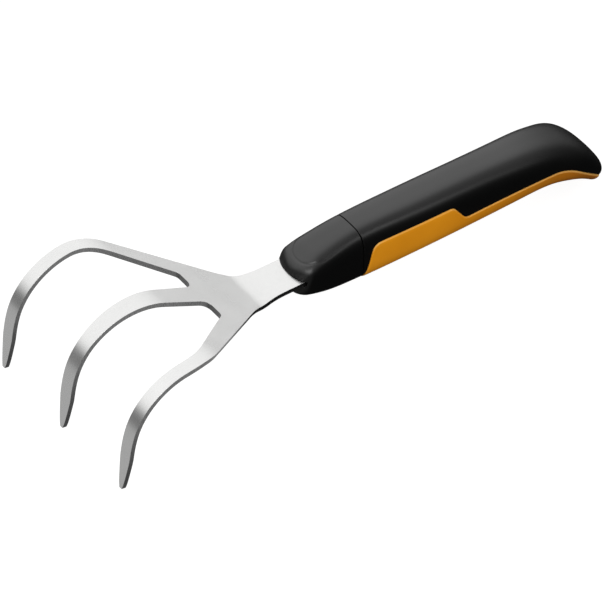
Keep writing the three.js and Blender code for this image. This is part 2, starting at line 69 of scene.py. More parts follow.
MM = 0.001
CAD_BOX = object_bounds()
BODY = "root"
CAD_CLEARANCE = 0.3  # gap that the CAD model leaves between neighbouring pieces
CORE_START = 16  # distance from the nose to the front of the core
NOSE_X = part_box("core_upper")[0].x / MM - CORE_START
SPINE_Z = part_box("core_upper")[0].z / MM - CAD_CLEARANCE
TOOL_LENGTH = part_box("grip_cover")[1].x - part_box("tine_head")[0].x

# ---------------------------------------------------------------- driving dimensions of the handle
# Distance runs along the spine from the nose. Top and bottom are heights from the spine.

HANDLE_LENGTH = 187.2
NOSE_START = 0.05  # the nose ends in a narrow flat
NOSE_RADIUS = 3.6  # in the side view
NOSE_REACH = 6.4  # in plan the nose is half an ellipse with this depth
BUTT_RADIUS = 3
NOSE_LEAN = 0.42  # the nose's face slopes back by this much from its lower lip
NOSE_LEAN_END = 14  # the sections stand upright again from here
HOOK_START = 135  # from here the spine curves down to the butt
HOOK_ANGLE = 0.74
HOOK_STEPS = 24
NOSE_SQUARENESS = 3.8  # superellipse exponent of the section
BUTT_SQUARENESS = 2.6
STATIONS = {
    "at": [0, 15, 36, 73, 114, 151, 167, HANDLE_LENGTH],
    "half": [12.7, 12.7, 12.5, 13.5, 14, 15.6, 17.2, 14.5],
    "top": [5.4, 10.1, 13.5, 13.5, 13, 11.7, 10.5, 5.2],
    "bottom": [-7.6, -13.8, -16.3, -16.1, -15.2, -12.2, -9.6, -6.7],
}
COLLAR_END = 36.3
GRIP_START = 36.7
SKIN_THICKNESS = 2.7

# Edge of the orange insert in the side view: distance behind the nose, height and corner radius.
INSERT_EDGE = [
    (35.9, -22, 0),
    (42.7, 5, 5),
    (89.9, 5.3, 4.5),
    (97.3, -4.6, 4.5),
    (159.0, -1.6, 22),
    (191.5, -26.5, 0),
]
CORNER_STEPS = 10
SEAM_GAP = 0.16
INSERT_PROUD = 0.35
INSERT_EDGE_RADIUS = 0.75
COVER_EDGE_RADIUS = 0.3
GROOVE_EDGE_RADIUS = 0.3
NARROWEST_INSERT = math.radians(8)  # half of the insert's angle where it meets the groove

# Mouth of the collar, where the steel comes out.
MOUTH_DEPTH = 5.8
MOUTH_HALF = 11.6
MOUTH_TOP = 0.3
MOUTH_BOTTOM = -2.8
TANG_SLOT_HALF = 7.8
PLATEAU_GROOVE = {"depth": 0.28, "width": 0.55, "margin": 2.6, "front": 5.5, "corner": 9}
PLATEAU_FADE = (14, 32)  # the plateau's groove fades out between these distances

# Mesh fineness.
ARC_ROWS = 112
RING_ROWS = 208
ROUND_STEPS = 6
EDGE_STEPS = 4
CAP_STEPS = 12
NOSE_STEPS = 30
COLLAR_SPACING = 0.35  # between columns behind the collar's nose
GRIP_SPACING = [  # end of a stretch of the grip and the space between its columns
    (44, 0.3),
    (86, 1.1),
    (101, 0.35),
    (135, 1.2),
    (HANDLE_LENGTH - BUTT_RADIUS, 0.9),
]
EDGE_SEARCH_STEPS = 30
CORE_CUTTER_AT = [CORE_START - CAD_CLEARANCE, 22, 30, COLLAR_END + 3]  # sections of the room for the core
CORE_CUTTER_ROWS = 52
TANG_SLOT_OVERLAP = 1  # the slot starts this far behind the nose and runs this far past the core's front
COLLAR_CREASE = math.radians(38)  # sharper edges than this stay sharp on the collar

# Steel head.
STEEL_EDGE_RADIUS = 0.5
WALL_ANGLE = math.radians(50)
FLAT_ANGLE = math.radians(0.1)
PITCH_SPACING = 0.6  # between the points from which the pitch of the sheet is read
SHEET, WALL, EDGE = range(3)  # kinds of face


# ---------------------------------------------------------------- shape of the handle

def station_value(key, distance):
    """A dimension of the handle at a distance, on a smooth curve through the stations."""
    at = STATIONS["at"]
    values = STATIONS[key]
    last = len(at) - 1
    i = 0
    while i < last - 1 and distance > at[i + 1]:
        i += 1

    def slope(j):
        a = max(j - 1, 0)
        b = min(j + 1, last)
        return (values[b] - values[a]) / (at[b] - at[a])

    span = at[i + 1] - at[i]
    t = (distance - at[i]) / span
    return (
        (2 * t**3 - 3 * t**2 + 1) * values[i]
        + (t**3 - 2 * t**2 + t) * span * slope(i)
        + (3 * t**2 - 2 * t**3) * values[i + 1]
        + (t**3 - t**2) * span * slope(i + 1)
    )


def smooth_step(low, high, value):
    t = min(max((value - low) / (high - low), 0), 1)
    return t * t * (3 - 2 * t)


def spine_pitch(distance):
    """Downward pitch of the spine, which grows smoothly along the hook."""
    return HOOK_ANGLE * smooth_step(HOOK_START, HANDLE_LENGTH, distance)


def section_pitch(distance):
    """Downward pitch of a cross-section, which also leans back near the nose."""
    return spine_pitch(distance) + NOSE_LEAN * (1 - smooth_step(0, NOSE_LEAN_END, distance))


def spine_at(distance):
    """Distance behind the nose and height of the spine."""
    if distance <= HOOK_START:
        return distance, 0.0
    step = (distance - HOOK_START) / HOOK_STEPS
    pitches = [spine_pitch(HOOK_START + (i + 0.5) * step) for i in range(HOOK_STEPS)]
    along = HOOK_START + step * sum(math.cos(pitch) for pitch in pitches)
    return along, -step * sum(math.sin(pitch) for pitch in pitches)


def nose_width(distance):
    """Share of the full width at a distance from the nose."""
    left = max(1 - distance / NOSE_REACH, 0)
    return math.sqrt(1 - left * left)


def nose_inset(distance):
    """How far the top and the bottom draw in at a distance from the nose."""
    left = max(NOSE_RADIUS - distance, 0)
    return NOSE_RADIUS - math.sqrt(NOSE_RADIUS**2 - left**2)


class Section:
    """A cross-section of the handle, drawn in by an inset."""

    def __init__(self, distance, inset):
        self.half = station_value("half", distance) * nose_width(distance) - inset
        top = station_value("top", distance) - nose_inset(distance) - inset
        bottom = station_value("bottom", distance) + nose_inset(distance) + inset
        self.middle = (top + bottom) / 2
        self.half_height = (top - bottom) / 2
        share = distance / HANDLE_LENGTH
        self.power = NOSE_SQUARENESS + (BUTT_SQUARENESS - NOSE_SQUARENESS) * share
        self.along, self.drop = spine_at(distance)
        self.pitch = section_pitch(distance)

    def outline(self, angle):
        """Sideways offset and height from the spine, at an angle or an array of angles."""
        across = np.cos(angle)
        upward = np.sin(angle)
        reach = (np.abs(across) ** self.power + np.abs(upward) ** self.power) ** (-1 / self.power)
        return self.half * reach * across, self.middle + self.half_height * reach * upward

    def place(self, y, height):
        """Points (distance behind the nose, y, height above the spine's start) of the section."""
        along = self.along + height * math.sin(self.pitch)
        up = self.drop + height * math.cos(self.pitch)
        return np.stack([along + 0 * y, y, up + 0 * y], axis=-1)

    def arc_scale(self, angle):
        """Millimetres along the outline for each radian."""
        step = 0.01
        y0, h0 = self.outline(angle - step)
        y1, h1 = self.outline(angle + step)
        return math.hypot(y1 - y0, h1 - h0) / (2 * step)


def round_corner(before, corner, after, radius):
    """Points of a corner rounded with an arc that touches both of its sides."""
    inward = (before - corner).normalized()
    outward = (after - corner).normalized()
    half_angle = inward.angle(outward) / 2
    reach = radius / math.tan(half_angle)
    centre = corner + (inward + outward).normalized() * (radius / math.sin(half_angle))
    start = corner + inward * reach - centre
    end = corner + outward * reach - centre
    sweep = start.angle_signed(end)
    points = []
    for i in range(CORNER_STEPS + 1):
        turn = -sweep * i / CORNER_STEPS
        cos, sin = math.cos(turn), math.sin(turn)
        points.append(centre + Vector((start.x * cos - start.y * sin, start.x * sin + start.y * cos)))
    return points


def insert_outline(offset):
    """The insert's edge as arrays of distance and height, moved up and out by offset."""
    corners = [Vector(entry[:2]) for entry in INSERT_EDGE]
    points = []
    for i, (_, _, radius) in enumerate(INSERT_EDGE):
        if radius == 0:
            points.append(corners[i])
        else:
            points += round_corner(corners[i - 1], corners[i], corners[i + 1], radius)
    moved = []
    for i, point in enumerate(points):
        ahead = points[min(i + 1, len(points) - 1)] - points[max(i - 1, 0)]
        side = Vector((-ahead.y, ahead.x)).normalized()
        moved.append(point + side * offset)
    return np.array([p.x for p in moved]), np.array([p.y for p in moved])


def edge_angle(section, edge):
    """Angle on the near side of a section at which its surface crosses the insert's edge."""

    def above(angle):
        y, height = section.outline(angle)
        along, _, up = section.place(y, height)
        return up - np.interp(along, *edge)

    low = -math.pi / 2
    high = math.pi / 2
    for _ in range(EDGE_SEARCH_STEPS):
        angle = (low + high) / 2
        if above(angle) > 0:
            high = angle
        else:
            low = angle
    return max(angle, NARROWEST_INSERT - math.pi / 2)


def edge_stretch(section, edge):
    """How much longer a step along the section is than the same step square to the edge."""
    step = 0.2
    rise = np.interp(section.along + step, *edge) - np.interp(section.along - step, *edge)
    return math.hypot(1, rise / (2 * step))


# ---------------------------------------------------------------- columns along the handle

class SideColumn:
    """A plain cross-section of a shell."""

    shrink = 1.0

    def __init__(self, distance):
        self.distance = distance

    def section(self, depth, surface):
        return Section(self.distance, surface + depth)


class FrontColumn:
    """A cross-section in the small rounded edge beside the groove. Facing is +1 or -1."""

    shrink = 1.0

    def __init__(self, face, facing, angle):
        self.face = face
        self.facing = facing
        self.angle = angle

    def section(self, depth, surface):
        left = GROOVE_EDGE_RADIUS - depth
        if left <= 0:
            return Section(self.face, surface + depth)
        back = GROOVE_EDGE_RADIUS - left * math.sin(self.angle)
        inset = GROOVE_EDGE_RADIUS - left * math.cos(self.angle)
        return Section(self.face + self.facing * back, surface + inset)


class ButtColumn:
    """A cross-section in the rounded end at the butt, or in its flat face."""

    def __init__(self, angle, shrink=1.0):
        self.angle = angle
        self.shrink = shrink

    def section(self, depth, surface):
        left = BUTT_RADIUS - depth - surface
        distance = HANDLE_LENGTH - BUTT_RADIUS + left * math.sin(self.angle)
        section = Section(min(distance, HANDLE_LENGTH), BUTT_RADIUS - left * math.cos(self.angle))
        overshoot = max(distance - HANDLE_LENGTH, 0)
        section.along += overshoot * math.cos(section.pitch)
        section.drop -= overshoot * math.sin(section.pitch)
        return section


def spread(start, end, spacing):
    """Evenly spaced values from start up to, but without, end."""
    count = max(round((end - start) / spacing), 1)
    return [start + (end - start) * i / count for i in range(count)]


def quarter_turn(steps):
    return [math.pi / 2 * i / steps for i in range(steps + 1)]


def grip_columns():
    """Columns of the grip, closest together where the insert's edge is steep."""
    columns = [FrontColumn(GRIP_START, 1, angle) for angle in reversed(quarter_turn(ROUND_STEPS))]
    start = GRIP_START + GROOVE_EDGE_RADIUS
    for end, spacing in GRIP_SPACING:
        columns += [SideColumn(distance) for distance in spread(start, end, spacing)][1:]
        columns.append(SideColumn(end))
        start = end
    columns.pop()
    for angle in quarter_turn(2 * ROUND_STEPS):
        columns.append(ButtColumn(angle))
    for i in range(1, CAP_STEPS + 1):
        columns.append(ButtColumn(math.pi / 2, 1 - i / CAP_STEPS))
    return columns


def collar_columns():
    """Columns of the collar, from the nose to the groove, closest together at the nose."""
    turns = quarter_turn(NOSE_STEPS)
    columns = [SideColumn(NOSE_START + NOSE_REACH * (1 - math.cos(angle))) for angle in turns]
    last = COLLAR_END - GROOVE_EDGE_RADIUS
    columns += [SideColumn(at) for at in spread(NOSE_START + NOSE_REACH, last, COLLAR_SPACING)][1:]
    columns += [FrontColumn(COLLAR_END, -1, angle) for angle in quarter_turn(ROUND_STEPS)]
    return columns


# ---------------------------------------------------------------- meshes

def to_frame(points):
    """Handle coordinates in millimetres to frame coordinates in metres."""
    return [((NOSE_X + x) * MM, y * MM, (SPINE_Z + z) * MM) for x, y, z in points]


def mesh_object(name, points, faces):
    """A smooth-shaded mesh object with merged points and outward faces."""
    mesh = bpy.data.meshes.new(name)
    mesh.from_pydata(points, [], faces)
    shape = bmesh.new()
    shape.from_mesh(mesh)
    bmesh.ops.remove_doubles(shape, verts=shape.verts, dist=0.004 * MM)
    bmesh.ops.dissolve_degenerate(shape, edges=shape.edges, dist=0.003 * MM)
    bmesh.ops.recalc_face_normals(shape, faces=shape.faces)
    shape.to_mesh(mesh)
    shape.free()
    mesh.shade_smooth()
    piece = bpy.data.objects.new(name, mesh)
    bpy.context.scene.collection.objects.link(piece)
    return piece


def loft_faces(columns, rows):
    """Quads between neighbouring columns, each a closed loop of rows."""
    faces = []
    for column in range(columns - 1):
        for row in range(rows):
            a = column * rows + row
            b = column * rows + (row + 1) % rows
            faces.append((a, b, b + rows, a + rows))
    return faces


def edge_rows(radius):
    """Depth below the surface and distance from the edge, from the shell's inside to its outside."""
    rows = [(SKIN_THICKNESS, 0.0)]
    for i in range(EDGE_STEPS + 1):
        angle = math.pi / 2 * i / EDGE_STEPS
        rows.append((radius * (1 - math.sin(angle)), radius * (1 - math.cos(angle))))
    return rows


def column_points(column, edge, side, surface, edge_radius):
    """One closed loop of a shell: its outside, both edges and its inside.

    Side is +1 for the shell above the insert's edge and -1 for the one below it.
    """
    right = []
    for depth, from_edge in edge_rows(edge_radius):
        section = column.section(depth, surface)
        angle = edge_angle(section, edge)
        turn = from_edge * edge_stretch(section, edge) / section.arc_scale(angle)
        if side < 0:
            turn = min(turn, 0.8 * (angle + math.pi / 2))
        right.append((section, angle + side * turn))

    def placed(section, angles, centre_height):
        y, height = section.outline(angles)
        height = centre_height + (height - centre_height) * column.shrink
        return section.place(y * column.shrink, height)

    def mirrored(angle):
        return side * math.pi - angle

    def arc(section, start, end):
        own = section.outline(start)[1]
        angles = np.linspace(start, end, ARC_ROWS + 2)[1:-1]
        return placed(section, angles, own)

    outer, outer_angle = right[-1]
    inner, inner_angle = right[0]
    near = [placed(s, np.array([a]), s.outline(a)[1]) for s, a in right]
    far = [placed(s, np.array([mirrored(a)]), s.outline(a)[1]) for s, a in reversed(right)]
    outside = arc(outer, outer_angle, mirrored(outer_angle))
    inside = arc(inner, mirrored(inner_angle), inner_angle)
    return np.concatenate([*near, outside, *far, inside])


def front_faces():
    """Faces that close the open front of a shell between its outside and its inside."""
    edges = EDGE_STEPS + 2
    rows = 2 * (edges + ARC_ROWS)
    far_start = edges + ARC_ROWS
    faces = [tuple([rows - 1] + list(range(edges + 1)))]
    for i in range(ARC_ROWS - 1):
        faces.append((edges + i, edges + i + 1, rows - 2 - i, rows - 1 - i))
    faces.append(tuple(range(far_start - 1, far_start + edges + 1)))
    return faces


def grip_shell(name, side, surface, edge_radius, gap):
    """One of the two shells that make the grip."""
    edge = insert_outline(gap)
    columns = grip_columns()
    loops = [column_points(column, edge, side, surface, edge_radius) for column in columns]
    points = to_frame(np.concatenate(loops))
    faces = loft_faces(len(columns), len(loops[0])) + front_faces()
    return mesh_object(name, points, faces)


def plateau_groove(along, y):
    """Depth of the fine line that frames the front of the collar's flat top."""
    groove = PLATEAU_GROOVE
    from_side = station_value("half", max(along, 0)) - groove["margin"] - abs(y)
    from_front = along - groove["front"]
    corner = groove["corner"]
    if from_side < corner and from_front < corner:
        inside = corner - math.hypot(corner - from_side, corner - from_front)
    else:
        inside = min(from_side, from_front)
    strength = 1 - smooth_step(*PLATEAU_FADE, along)
    return groove["depth"] * strength * math.exp(-((inside / groove["width"]) ** 2))


def full_ring(section, shrink, rows):
    """Points all round a section, shrunk towards its middle."""
    angles = np.linspace(0, 2 * math.pi, rows, endpoint=False)
    y, height = section.outline(angles)
    height = section.middle + (height - section.middle) * shrink
    return section.place(y * shrink, height)


def closed_loft(name, loops):
    """A solid through closed loops with flat ends."""
    rows = len(loops[0])
    faces = loft_faces(len(loops), rows)
    faces.append(tuple(range(rows)))
    faces.append(tuple(range((len(loops) - 1) * rows, len(loops) * rows)))
    return mesh_object(name, to_frame(np.concatenate(loops)), faces)


def box_cutter(name, low, high):
    """A box between two corners in handle coordinates, used only to cut."""
    corners = list(itertools.product(*zip(low, high)))
    faces = [(0, 1, 3, 2), (4, 6, 7, 5), (0, 4, 5, 1), (2, 3, 7, 6), (0, 2, 6, 4), (1, 5, 7, 3)]
    return mesh_object(name, to_frame(corners), faces)


def apply_modifiers(piece):
    """Replaces a piece's mesh with its evaluated mesh."""
    graph = bpy.context.evaluated_depsgraph_get()
    mesh = bpy.data.meshes.new_from_object(piece.evaluated_get(graph))
    piece.modifiers.clear()
    piece.data = mesh


def cut(piece, cutters):
    """Cuts the cutters out of a piece and deletes them."""
    for cutter in cutters:
        modifier = piece.modifiers.new("cut", "BOOLEAN")
        modifier.operation = "DIFFERENCE"
        modifier.solver = "EXACT"
        modifier.object = cutter
    apply_modifiers(piece)
    for cutter in cutters:
        bpy.data.objects.remove(cutter)


# ---------------------------------------------------------------- pieces

def nose_collar():
    """The moulded nose: a solid with room for the core, and a mouth for the steel."""
    loops = []
    for column in collar_columns():
        section = column.section(0, 0)
        points = full_ring(section, column.shrink, RING_ROWS)
        for point in points:
            if point[2] > 0:
                point[2] -= plateau_groove(point[0], point[1])
        loops.append(points)
    collar = closed_loft("nose_collar_shell", loops)

    core_sections = [Section(distance, SKIN_THICKNESS) for distance in CORE_CUTTER_AT]
    core_loops = [full_ring(section, 1, CORE_CUTTER_ROWS) for section in core_sections]
    cutters = [
        closed_loft("core_cutter", core_loops),
        box_cutter(
            "mouth_cutter",
            (-2 * NOSE_RADIUS, -MOUTH_HALF, MOUTH_BOTTOM),
            (MOUTH_DEPTH, MOUTH_HALF, MOUTH_TOP),
        ),
        box_cutter(
            "tang_cutter",
            (TANG_SLOT_OVERLAP, -TANG_SLOT_HALF, MOUTH_BOTTOM),
            (CORE_START + TANG_SLOT_OVERLAP, TANG_SLOT_HALF, MOUTH_TOP),
        ),
    ]
    cut(collar, cutters)
    collar.data.shade_smooth()
    collar.data.set_sharp_from_angle(angle=COLLAR_CREASE)
    return collar


def flood(start, limit):
    """Faces reached from a face without crossing an edge sharper than the limit."""
    found = {start}
    open_faces = [start]
    while open_faces:
        face = open_faces.pop()
        for edge in face.edges:
            if len(edge.link_faces) != 2 or edge.calc_face_angle(math.pi) > limit:
                continue
            for other in edge.link_faces:
                if other not in found:
                    found.add(other)
                    open_faces.append(other)
    return found


def sheet_pitch(vertices):
    """The sheet is bent about the Y axis only, so its pitch depends on x. Returns x and pitch."""
    points = sorted((vertex.co.x, vertex.co.z) for vertex in vertices)
    kept = [points[0]]
    for point in points:
        if math.dist(point, kept[-1]) > PITCH_SPACING * MM:
            kept.append(point)
    x, z = np.array(kept).T
    return (x[1:] + x[:-1]) / 2, np.arctan2(np.diff(z), np.diff(x))


def head_normals(shape, pitch):
    """Vertex normals: from the bends on the sheet, from the walls alone on the cut walls."""
    normals = []
    for vertex in shape.verts:
        sheet = [face for face in vertex.link_faces if face.material_index == SHEET]
        wall = [face for face in vertex.link_faces if face.material_index == WALL]
        if sheet:
            angle = float(np.interp(vertex.co.x, *pitch))
            normal = Vector((-math.sin(angle), 0, math.cos(angle)))
            if normal.dot(sheet[0].normal) < 0:
                normal = -normal
        elif wall:
            normal = sum((face.normal * face.calc_area() for face in wall), Vector()).normalized()
        else:
            normal = vertex.normal
        normals.append(normal.copy())
    return normals


def steel_head():
    """The CAD head with its cut walls marked and its sharp edges rounded."""
    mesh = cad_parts["tine_head"].data.copy()
    mesh.name = "steel_head"
    mesh.materials.clear()
    shape = bmesh.new()
    shape.from_mesh(mesh)
    bmesh.ops.remove_doubles(shape, verts=shape.verts, dist=0.01 * MM)
    for face in shape.faces:
        face.material_index = WALL
        face.smooth = True
    for upward in (-1, 1):
        facing = [face for face in shape.faces if face.normal.z * upward > 0.5]
        palm = min(facing, key=lambda face: face.calc_center_median().length)
        sheet = flood(palm, WALL_ANGLE)
        for face in sheet:
            face.material_index = SHEET
    pitch = sheet_pitch({vertex for face in sheet for vertex in face.verts})
    bmesh.ops.dissolve_limit(
        shape, angle_limit=FLAT_ANGLE, verts=shape.verts, edges=shape.edges, delimit={"MATERIAL"},
    )

    sharp = [edge for edge in shape.edges if edge.calc_face_angle(0) > WALL_ANGLE]
    bmesh.ops.bevel(
        shape, geom=sharp, affect="EDGES", offset=STEEL_EDGE_RADIUS * MM, offset_type="OFFSET",
        segments=3, profile=0.5, clamp_overlap=True, material=EDGE,
    )
    shape.normal_update()
    normals = head_normals(shape, pitch)
    for face in shape.faces:
        face.smooth = True
        if face.material_index == EDGE:
            face.material_index = SHEET
    shape.to_mesh(mesh)
    shape.free()
    mesh.normals_split_custom_set_from_vertices(normals)
    head = bpy.data.objects.new("steel_head", mesh)
    bpy.context.scene.collection.objects.link(head)
    return head


# ---------------------------------------------------------------- materials

NOISE_START = (0.37, 0.61, 0.13)  # keeps the noise patterns clear of the frame's origin
NOISE_RANGE = (0.3, 0.7)  # where most of a noise's values lie
STEEL_TONES = ((0.81, 0.81, 0.805, 1), (0.90, 0.90, 0.89, 1))
ORANGE_TONES = ((0.91, 0.33, 0.005, 1), (0.98, 0.37, 0.007, 1))
ORANGE_SHADED_AT_BUTT = (0.46, 0.14, 0.003, 1)
# painted highlight laid on the insert's convex edges
ORANGE_EDGE_HIGHLIGHT = (1.0, 0.62, 0.18, 1)
BLACK_FADE = (0.58, 0.94)  # shares of the grip's length between which the black's painted sheen and tone fade
BLACK_AT_BUTT = 0.06  # share of the painted sheen and tone that is left there
BLACK_UPWARD = (0.45, 0.98)  # upward parts of the normal between which the painted sheen and tone set in
ORANGE_FADE = 0.3  # share of the insert's length from which painted shade deepens its tone


class Nodes:
    """Short calls for building a node tree."""

    def __init__(self, tree):
        self.tree = tree
        tree.nodes.clear()

    def add(self, kind, inputs=None, **settings):
        node = self.tree.nodes.new(kind)
        for key, value in settings.items():
            setattr(node, key, value)
        for key, value in (inputs or {}).items():
            self.feed(node.inputs[key], value)
        return node

    def feed(self, socket, value):
        if isinstance(value, bpy.types.NodeSocket):
            self.tree.links.new(value, socket)
        else:
            socket.default_value = value

    def math(self, operation, a, b):
        return self.add("ShaderNodeMath", {0: a, 1: b}, operation=operation).outputs[0]

    def remap(self, value, from_low, from_high, to_low, to_high):
        inputs = {0: value, 1: from_low, 2: from_high, 3: to_low, 4: to_high}
        return self.add("ShaderNodeMapRange", inputs, interpolation_type="SMOOTHSTEP").outputs[0]

    def mix_colour(self, factor, a, b):
        node = self.add("ShaderNodeMix", data_type="RGBA")
        self.feed(node.inputs["Factor"], factor)
        self.feed(node.inputs["A"], a)
        self.feed(node.inputs["B"], b)
        return node.outputs["Result"]

    def from_noise(self, noise, low, high):
        """Spreads the middle of a noise's range over a range of its own."""
        return self.remap(noise, *NOISE_RANGE, low, high)

    def position(self, scale):
        place = self.add("ShaderNodeTexCoord").outputs["Object"]
        inputs = {"Vector": place, "Location": NOISE_START, "Scale": scale}
        return self.add("ShaderNodeMapping", inputs).outputs[0]

    def place_part(self, axis):
        place = self.add("ShaderNodeTexCoord").outputs["Object"]
        return self.add("ShaderNodeSeparateXYZ", {0: place}).outputs[axis]

    def noise(self, scale, detail=3.0, stretch=(1, 1, 1)):
        inputs = {"Vector": self.position(stretch), "Scale": scale, "Detail": detail}
        return self.add("ShaderNodeTexNoise", inputs).outputs[0]

    def normal_part(self, axis):
        normal = self.add("ShaderNodeNewGeometry").outputs["Normal"]
        return self.add("ShaderNodeSeparateXYZ", {0: normal}).outputs[axis]

    def bump(self, height, strength, distance):
        inputs = {"Height": height, "Strength": strength, "Distance": distance}
        return self.add("ShaderNodeBump", inputs).outputs[0]


def grey(value):
    return (value, value, value, 1)


def new_material(name):
    """A material and the short calls for its empty node tree."""
    material = bpy.data.materials.new(name)
    material.use_nodes = True
    return material, Nodes(material.node_tree)


def finish_material(nodes, inputs):
    """Ends a material's node tree with its surface."""
    shader = nodes.add("ShaderNodeBsdfPrincipled", inputs)
    nodes.add("ShaderNodeOutputMaterial", {"Surface": shader.outputs[0]})


def satin_steel():
    """Rolled sheet, tumbled to a satin finish, with faint lengthwise grain."""
    material, nodes = new_material("satin_steel")
    grain = nodes.noise(900, 4, (1, 5, 5))
    speckle = nodes.noise(3200, 2)
    cloud = nodes.noise(60, 3)
    streaks = nodes.math("MULTIPLY", grain, 0.05)
    roughness = nodes.math("ADD", nodes.from_noise(cloud, 0.19, 0.25), streaks)
    tone = nodes.mix_colour(nodes.from_noise(speckle, 0, 1), *STEEL_TONES)
    relief = nodes.math("ADD", nodes.math("MULTIPLY", grain, 0.6), nodes.math("MULTIPLY", speckle, 0.4))
    finish_material(nodes, {
        "Base Color": tone,
        "Metallic": 1.0,
        "Roughness": roughness,
        "Normal": nodes.bump(relief, 0.25, 0.02 * MM),
    })
    return material


def cut_steel():
    """Sheared wall of the blank: duller than the sheet, and darkest towards the points. The darker tone
    is partly the rough cut finish and partly painted shade; the darkening towards the points is painted
    shade.
    """
    material, nodes = new_material("cut_steel")
    marks = nodes.noise(700, 4, (4, 4, 0.6))
    tone = nodes.mix_colour(nodes.from_noise(marks, 0, 1), grey(0.30), grey(0.44))
    low, high = CAD_BOX[0][2], CAD_BOX[1][2]
    # Painted shade: the lower the wall lies, the more its tone is mixed towards near-black, most at the
    # points.
    unshaded_share = nodes.remap(nodes.place_part(2), low, high, 0.15, 1)
    finish_material(nodes, {
        "Base Color": nodes.mix_colour(unshaded_share, grey(0.03), tone),
        "Metallic": 1.0,
        "Roughness": nodes.from_noise(marks, 0.24, 0.34),
        "Normal": nodes.bump(marks, 0.4, 0.05 * MM),
    })
    return material


def black_plastic():
    """Black moulded plastic with a fine grain.

    Its tone and sheen are stronger on faces that look up and fade towards the butt. A real moulding is
    even all over: this stands in for light that the plain studio does not give.
    """
    material, nodes = new_material("black_plastic")
    front, butt = (corner.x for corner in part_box("grip_cover"))
    fade = [front + (butt - front) * share for share in BLACK_FADE]
    forward = nodes.remap(nodes.place_part(0), *fade, 1, BLACK_AT_BUTT)
    facing = nodes.remap(nodes.normal_part(2), *BLACK_UPWARD, 0, 1)
    upward = nodes.math("MULTIPLY", forward, facing)
    grain = nodes.noise(2600, 3)
    cloud = nodes.noise(45, 2)
    tone = nodes.mix_colour(upward, grey(0.002), grey(0.019))
    polish = nodes.remap(upward, 0, 1, 0.42, 0.31)
    roughness = nodes.math("ADD", polish, nodes.math("MULTIPLY", cloud, 0.06))
    finish_material(nodes, {
        "Base Color": tone,
        "Roughness": roughness,
        "Specular IOR Level": nodes.remap(upward, 0, 1, 0.3, 0.88),
        "Normal": nodes.bump(grain, 0.22, 0.03 * MM),
    })
    return material


def orange_rubber():
    """Soft orange moulding with a matte grain.

    The tone is deeper towards the butt, which also stands in for falling light on an even moulding.
    """
    material, nodes = new_material("orange_rubber")
    grain = nodes.noise(2200, 3)
    cloud = nodes.noise(38, 3)
    tone = nodes.mix_colour(nodes.from_noise(cloud, 0, 1), *ORANGE_TONES)
    front, butt = (corner.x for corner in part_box("grip_insert"))
    # Painted shade: the tone deepens towards the butt.
    rearward = nodes.remap(nodes.place_part(0), front + (butt - front) * ORANGE_FADE, butt, 0, 1)
    tone = nodes.mix_colour(rearward, tone, ORANGE_SHADED_AT_BUTT)
    # Painted highlight: convex edges, found by their pointiness, are lightened towards a bright orange.
    edge = nodes.remap(nodes.add("ShaderNodeNewGeometry").outputs["Pointiness"], 0.51, 0.56, 0, 1)
    finish_material(nodes, {
        "Base Color": nodes.mix_colour(edge, tone, ORANGE_EDGE_HIGHLIGHT),
        "Roughness": nodes.from_noise(cloud, 0.5, 0.58),
        "Specular IOR Level": 0.22,
        "Normal": nodes.bump(grain, 0.25, 0.03 * MM),
    })
    return material


def core_plastic():
    """Dark structural plastic with short glass fibres showing in its skin."""
    material, nodes = new_material("core_plastic")
    fibre = nodes.noise(1500, 2, (0.2, 1, 1))
    finish_material(nodes, {
        "Base Color": nodes.mix_colour(nodes.remap(fibre, 0.45, 0.65, 0, 1), grey(0.01), grey(0.018)),
        "Roughness": nodes.from_noise(fibre, 0.55, 0.7),
        "Normal": nodes.bump(fibre, 0.3, 0.03 * MM),
    })
    return material


def pin_steel():
    """Turned steel pin with fine rings round its axis."""
    material, nodes = new_material("pin_steel")
    rings = nodes.noise(2400, 2, (0.3, 0.3, 1))
    finish_material(nodes, {
        "Base Color": nodes.mix_colour(rings, grey(0.5), grey(0.66)),
        "Metallic": 1.0,
        "Roughness": nodes.from_noise(rings, 0.28, 0.4),
        "Normal": nodes.bump(rings, 0.3, 0.03 * MM),
    })
    return material


# ---------------------------------------------------------------- studio

DOME_KEY = 1.27  # brightness of the dome behind the tool
DOME_TOP = 0.22  # overhead
DOME_FILL = (1.25, 0.14)  # on the camera's side, for matte faces and for polished ones
HORIZON_AHEAD = 0.16  # share of the dome's brightness at the horizon ahead of the tines
HORIZON_BEHIND = 0.62
DOME_AHEAD = -0.6  # x of the directions between which the horizon changes, ahead of the tines
DOME_BEHIND = 0.6  # and behind the butt
HORIZON_LOW = (0.12, -0.25)  # height where the dome starts to brighten, ahead and behind
HORIZON_HIGH = (0.42, 0.65)  # height where it is fully bright
SOFT_BOXES = [
    {
        "name": "ridge_light",
        "direction": (0.43, -0.68, 0.59),
        "distance": 0.32,
        "size": 0.15,
        "power": 0.09,
    },
    {
        "name": "front_light",
        "direction": (-0.68, -0.22, 0.68),
        "distance": 0.36,
        "size": 0.22,
        "power": 0.45,
    },
]
FLOOR_SIZE = 60  # half of the floor's side, in tool lengths
FLOOR_GAP = 0.0002  # metres below the lowest point, so that the two never share a plane
FLOOR_PAPER = 0.30  # tone of the floor, which takes the tool's shadow
FLOOR_LIGHT = 0.86  # added to the floor for the camera, so that it reads as white
FLOOR_SHEEN = (0.02, 0.42)  # what polished faces see in the floor: under the handle, under the tines
FLOOR_SHEEN_STEP = (0.002, 0.024)  # metres ahead of the collar over which the one turns into the other
FLOOR_FAR = (0.30, 0.10)  # metres ahead of the tines over which the sheen falls off
FLOOR_FAR_SHARE = 0.45  # what is left of it beyond
FLOOR_BOUNCE = 0.14  # what matte faces get back from the floor
